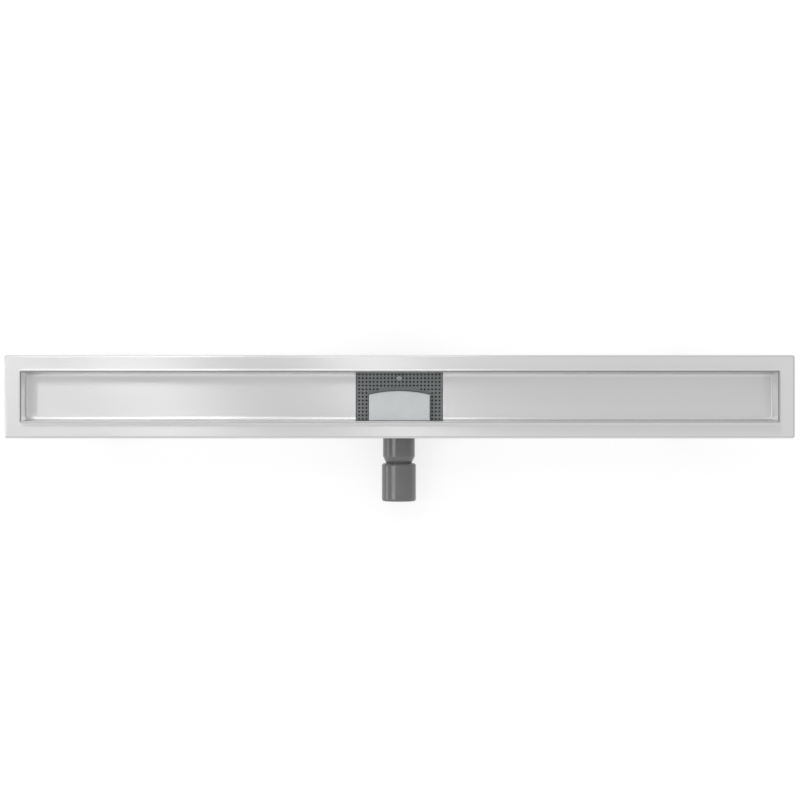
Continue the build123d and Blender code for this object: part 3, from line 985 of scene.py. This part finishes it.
def centres(node):
    """Centres and heights of a node's separate solids, from its loose pieces."""
    shape = bmesh.new()
    shape.from_mesh(NODES[node].data)
    bmesh.ops.remove_doubles(shape, verts=shape.verts, dist=1e-6)
    waiting = set(shape.verts)
    found = []
    while waiting:
        group = [waiting.pop()]
        for vertex in group:
            for edge in vertex.link_edges:
                other = edge.other_vert(vertex)
                if other in waiting:
                    waiting.discard(other)
                    group.append(other)
        low = [min(vertex.co[axis] for vertex in group) for axis in range(3)]
        high = [max(vertex.co[axis] for vertex in group) for axis in range(3)]
        found.append(([round((a + b) / 2, 6) for a, b in zip(low, high)], high[2] - low[2]))
    shape.free()
    return sorted(found)


class DRAIN_OT_rods(bpy.types.Operator):
    """Cut the threads of the feet's rods and the collar's studs"""

    bl_idname = "drain.rods"
    bl_label = "Threaded Rods"

    def execute(self, context):
        sizes = context.scene.drain_fasteners
        tree = thread_tree()
        studs = centres("collar_studs")
        places = [place for place, height in studs]
        mesh = threaded(tree, places, sizes.stud_radius, studs[0][1], sizes.stud_pitch)
        add_piece("collar_stud_threads", mesh, "fastener_steel", "collar_studs")
        nodes = ["foot_stud_" + str(number) for number in range(1, 5)]
        rods = [centres(node)[0] for node in nodes]
        places = [place for place, height in rods]
        mesh = threaded(tree, places, sizes.rod_radius, rods[0][1], sizes.rod_pitch)
        add_piece("foot_rod_threads", mesh, "fastener_steel", *nodes)
        return {"FINISHED"}


def hexagon_radius(turn, width):
    """Distance from a hexagon's centre to its side in one direction."""
    part = (turn + pi / 6) % (pi / 3) - pi / 6
    return width / 2 / cos(part)


def hexagon_loop(width, limit, z, slope):
    """A loop round a hexagon, drawn down where its corners reach past a circle."""
    points = []
    for turn in HEXAGON_TURNS:
        radius = hexagon_radius(turn - pi / 2, width)
        points.append((radius * cos(turn), radius * sin(turn), z + slope * max(0, radius - limit)))
    return points


def round_loop(radius, z):
    """A level circle of points that starts as a hexagon's loop does."""
    return [(radius * cos(turn), radius * sin(turn), z) for turn in HEXAGON_TURNS]


def nut_mesh(width, height, bore):
    """A hexagon nut with chamfered corners and a countersunk bore."""
    limit = width / 2 * NUT_CHAMFER
    half = height / 2
    sink = bore * NUT_SINK
    shape = bmesh.new()
    loops = [
        round_loop(bore, half - sink),
        round_loop(bore + sink, half),
        round_loop(limit, half),
        hexagon_loop(width, limit, half, -CHAMFER_SLOPE),
        hexagon_loop(width, limit, -half, CHAMFER_SLOPE),
        round_loop(limit, -half),
        round_loop(bore + sink, -half),
        round_loop(bore, -half + sink),
        round_loop(bore, half - sink),
    ]
    bridge_all(shape, loops)
    return finished_mesh(shape, "nut", sharp_angle=25)


def nuts_tree():
    """Like nuts that stand on points."""
    tree = Tree("nuts_on_points")
    [nut] = tree.take("Nut", kind="NodeSocketObject")
    source = tree.add("GeometryNodeObjectInfo", {"Object": nut}).outputs["Geometry"]
    tree.finish(tree.put(tree.start, source))
    return tree


class DRAIN_OT_nuts(bpy.types.Operator):
    """Put the nuts on the studs and on the feet's rods"""

    bl_idname = "drain.nuts"
    bl_label = "Nuts"

    def execute(self, context):
        sizes = context.scene.drain_fasteners
        tree = nuts_tree()
        rows = (
            ("sump_nuts", sizes.stud_nut, sizes.stud_radius),
            ("foot_nuts_upper", sizes.rod_nut, sizes.rod_radius),
            ("foot_nuts_lower", sizes.rod_nut, sizes.rod_radius),
        )
        for node, width, radius in rows:
            found = centres(node)
            pattern = add_object("nut_pattern", nut_mesh(width, found[0][1], radius))
            mesh = tree.run(point_mesh([place for place, height in found]), {
                "Nut": pattern, "Material": finish_for("fastener_steel"),
            })
            bpy.data.objects.remove(pattern)
            smooth(mesh, sharp_angle=25)
            add_piece(node + "_chamfered", mesh, "fastener_steel", node)
        return {"FINISHED"}


class DRAIN_OT_screw(bpy.types.Operator):
    """Make the hexagon screw that holds the strainer"""

    bl_idname = "drain.screw"
    bl_label = "Strainer Screw"

    def execute(self, context):
        sizes = context.scene.drain_fasteners
        centre_y = (SCREW_LOW[1] + SCREW_HIGH[1]) / 2
        top = SCREW_HIGH[2]
        seat = top - sizes.head_height
        width = sizes.head_width
        limit = width / 2 * HEAD_CHAMFER
        socket = sizes.socket_width
        rim = socket * SOCKET_RIM
        step = SCREW_EDGE
        shape = bmesh.new()
        head = [
            round_loop(sizes.screw_radius, seat),
            round_loop(width / 2 * SEAT_REACH, seat),
            hexagon_loop(width, limit, seat + 2 * step, SEAT_SLOPE),
            hexagon_loop(width, limit, top - 3 * step, -CHAMFER_SLOPE),
            round_loop(limit, top - step),
            round_loop(limit - 2 * step, top),
            round_loop(rim + 4 * step, top),
            round_loop(rim, top - 2 * step),
            hexagon_loop(socket, socket, top - 5 * step, 0),
            hexagon_loop(socket, socket, top - sizes.socket_depth, 0),
        ]
        bridge_all(shape, head)
        add_face(shape, head[-1])
        add_face(shape, head[0])
        for vertex in shape.verts:
            vertex.co.y += centre_y
        shank_size = seat - SCREW_LOW[2]
        middle = (0, centre_y, SCREW_LOW[2] + shank_size / 2)
        shank = threaded(thread_tree(), [middle], sizes.screw_radius, shank_size, sizes.screw_pitch)
        bmesh.ops.remove_doubles(shape, verts=shape.verts, dist=1e-6)
        shape.from_mesh(shank)
        mesh = finished_mesh(shape, "strainer_screw_hexagon", sharp_angle=30)
        add_piece("strainer_screw_hexagon", mesh, "fastener_steel", "strainer_screw")
        return {"FINISHED"}


class DRAIN_OT_mouldings(bpy.types.Operator):
    """Give the moulded parts, seals, washers and rails their finishes"""

    bl_idname = "drain.mouldings"
    bl_label = "Mouldings, Seals and Rails"

    def execute(self, context):
        slots = {row["node"]: row["material_slot"] for row in frame["record"]["subparts"]}
        for node, piece in NODES.items():
            if not piece.hide_render:
                for slot in piece.material_slots:
                    slot.material = finish_for(slots[node])
        return {"FINISHED"}


def add_light_box(box, level):
    """A rectangular light box, turned about its middle."""
    data = bpy.data.lights.new(box.name, "AREA")
    data.shape = "RECTANGLE"
    data.size = box.width
    data.size_y = box.depth
    data.energy = level * pi * box.width * box.depth
    lamp = add_object(box.name, data)
    lamp.location = box.place
    lamp.rotation_euler = [radians(angle) for angle in box.turn]


def seen_directly(tree):
    """One for camera, mirror and glass rays, nought for light that falls on things."""
    path = tree.nodes.new("ShaderNodeLightPath").outputs
    seen = path["Is Camera Ray"]
    for ray in ("Is Glossy Ray", "Is Transmission Ray"):
        seen = add_node(tree, "ShaderNodeMath", {0: seen, 1: path[ray]}, operation="MAXIMUM").outputs[0]
    return seen


def floor_material(stage):
    """A pale floor that looks white, keeps a soft shadow and lets the underside be seen from below."""
    material = bpy.data.materials.new("floor")
    material.use_nodes = True
    tree = material.node_tree
    tree.nodes.clear()
    matt = add_node(tree, "ShaderNodeBsdfDiffuse", {"Color": [*stage.floor, 1]})
    shaded = add_node(tree, "ShaderNodeBsdfDiffuse", {"Color": [*[stage.floor_shade] * 3, 1]})
    glow = add_node(tree, "ShaderNodeEmission", {"Strength": 1 - stage.floor_shade * FLOOR_LEVEL})
    white = add_node(tree, "ShaderNodeAddShader", {0: shaded.outputs[0], 1: glow.outputs[0]})
    mixed = add_node(tree, "ShaderNodeMixShader", {
        0: seen_directly(tree), 1: matt.outputs[0], 2: white.outputs[0],
    })
    below = tree.nodes.new("ShaderNodeNewGeometry").outputs["Backfacing"]
    clear = tree.nodes.new("ShaderNodeBsdfTransparent")
    sided = add_node(tree, "ShaderNodeMixShader", {0: below, 1: mixed.outputs[0], 2: clear.outputs[0]})
    add_node(tree, "ShaderNodeOutputMaterial", {"Surface": sided.outputs[0]})
    return material


def light_world(stage):
    """Even light from above, with paler walls in front and behind."""
    world = bpy.data.worlds.new("studio")
    world.use_nodes = True
    tree = world.node_tree
    direction = tree.nodes.new("ShaderNodeTexCoord").outputs["Generated"]
    across = add_node(tree, "ShaderNodeSeparateXYZ", {0: direction}).outputs["Y"]
    reach = add_node(tree, "ShaderNodeMath", {0: across}, operation="ABSOLUTE").outputs[0]
    begin, full = WALL_RANGE
    walls = add_node(tree, "ShaderNodeMapRange", {
        0: reach, 1: begin, 2: full, 3: stage.ceiling_light, 4: stage.wall_light,
    }, interpolation_type="SMOOTHSTEP").outputs[0]
    feed(tree, tree.nodes["Background"], {"Color": (1, 1, 1, 1), "Strength": walls})
    bpy.context.scene.world = world


def add_floor(stage):
    """A plain floor just under the feet."""
    mesh = bpy.data.meshes.new("floor")
    outline = rectangle(-FLOOR_HALF, FLOOR_HALF, -FLOOR_HALF, FLOOR_HALF)
    mesh.from_pydata([(x, y, -FLOOR_DROP) for x, y in outline], [], [(0, 1, 2, 3)])
    mesh.materials.append(floor_material(stage))
    floor = add_object("floor", mesh)


def add_camera(stage):
    """A camera that looks straight down."""
    data = bpy.data.cameras.new("camera")
    data.lens = stage.lens
    data.sensor_width = 36
    data.shift_x = stage.view_shift
    camera = add_object("camera", data)
    camera.location = (-stage.camera_x, -stage.camera_y, stage.camera_height)
    bpy.context.scene.camera = camera


class DRAIN_OT_stage(bpy.types.Operator):
    """Set the floor, the light and the camera"""

    bl_idname = "drain.stage"
    bl_label = "Stage"

    def execute(self, context):
        stage = context.scene.drain_stage
        context.scene.view_settings.view_transform = "Standard"
        light_world(stage)
        add_floor(stage)
        for box in LIGHT_BOXES:
            add_light_box(box, getattr(stage, box.setting))
        add_camera(stage)
        return {"FINISHED"}


class DRAIN_PT_panel(bpy.types.Panel):
    """Lists the drain's pieces and its stage"""

    bl_idname = "DRAIN_PT_panel"
    bl_label = "Linear Shower Drain"
    bl_space_type = "VIEW_3D"
    bl_region_type = "UI"
    bl_category = "Drain"

    def draw(self, context):
        for operator in OPERATORS:
            self.layout.operator(operator.bl_idname)
        for settings in SETTINGS:
            group = getattr(context.scene, settings)
            box = self.layout.box()
            for name in group.bl_rna.properties.keys():
                if name not in ("rna_type", "name"):
                    box.prop(group, name)


SETTINGS = {
    "drain_tray": DrainTray,
    "drain_strainer": DrainStrainer,
    "drain_fasteners": DrainFasteners,
    "drain_finish": DrainFinish,
    "drain_stage": DrainStage,
}
OPERATORS = (
    DRAIN_OT_tray,
    DRAIN_OT_strainer,
    DRAIN_OT_screw,
    DRAIN_OT_rods,
    DRAIN_OT_nuts,
    DRAIN_OT_mouldings,
    DRAIN_OT_stage,
)
CLASSES = (*SETTINGS.values(), *OPERATORS, DRAIN_PT_panel)


def register():
    for kind in CLASSES:
        bpy.utils.register_class(kind)
    for name, settings in SETTINGS.items():
        setattr(bpy.types.Scene, name, bpy.props.PointerProperty(type=settings))


def unregister():
    for name in SETTINGS:
        delattr(bpy.types.Scene, name)
    for kind in reversed(CLASSES):
        bpy.utils.unregister_class(kind)


def main():
    register()
    bpy.ops.drain.tray()
    bpy.ops.drain.strainer()
    bpy.ops.drain.screw()
    bpy.ops.drain.rods()
    bpy.ops.drain.nuts()
    bpy.ops.drain.mouldings()
    bpy.ops.drain.stage()


if __name__ == "__main__":
    main()
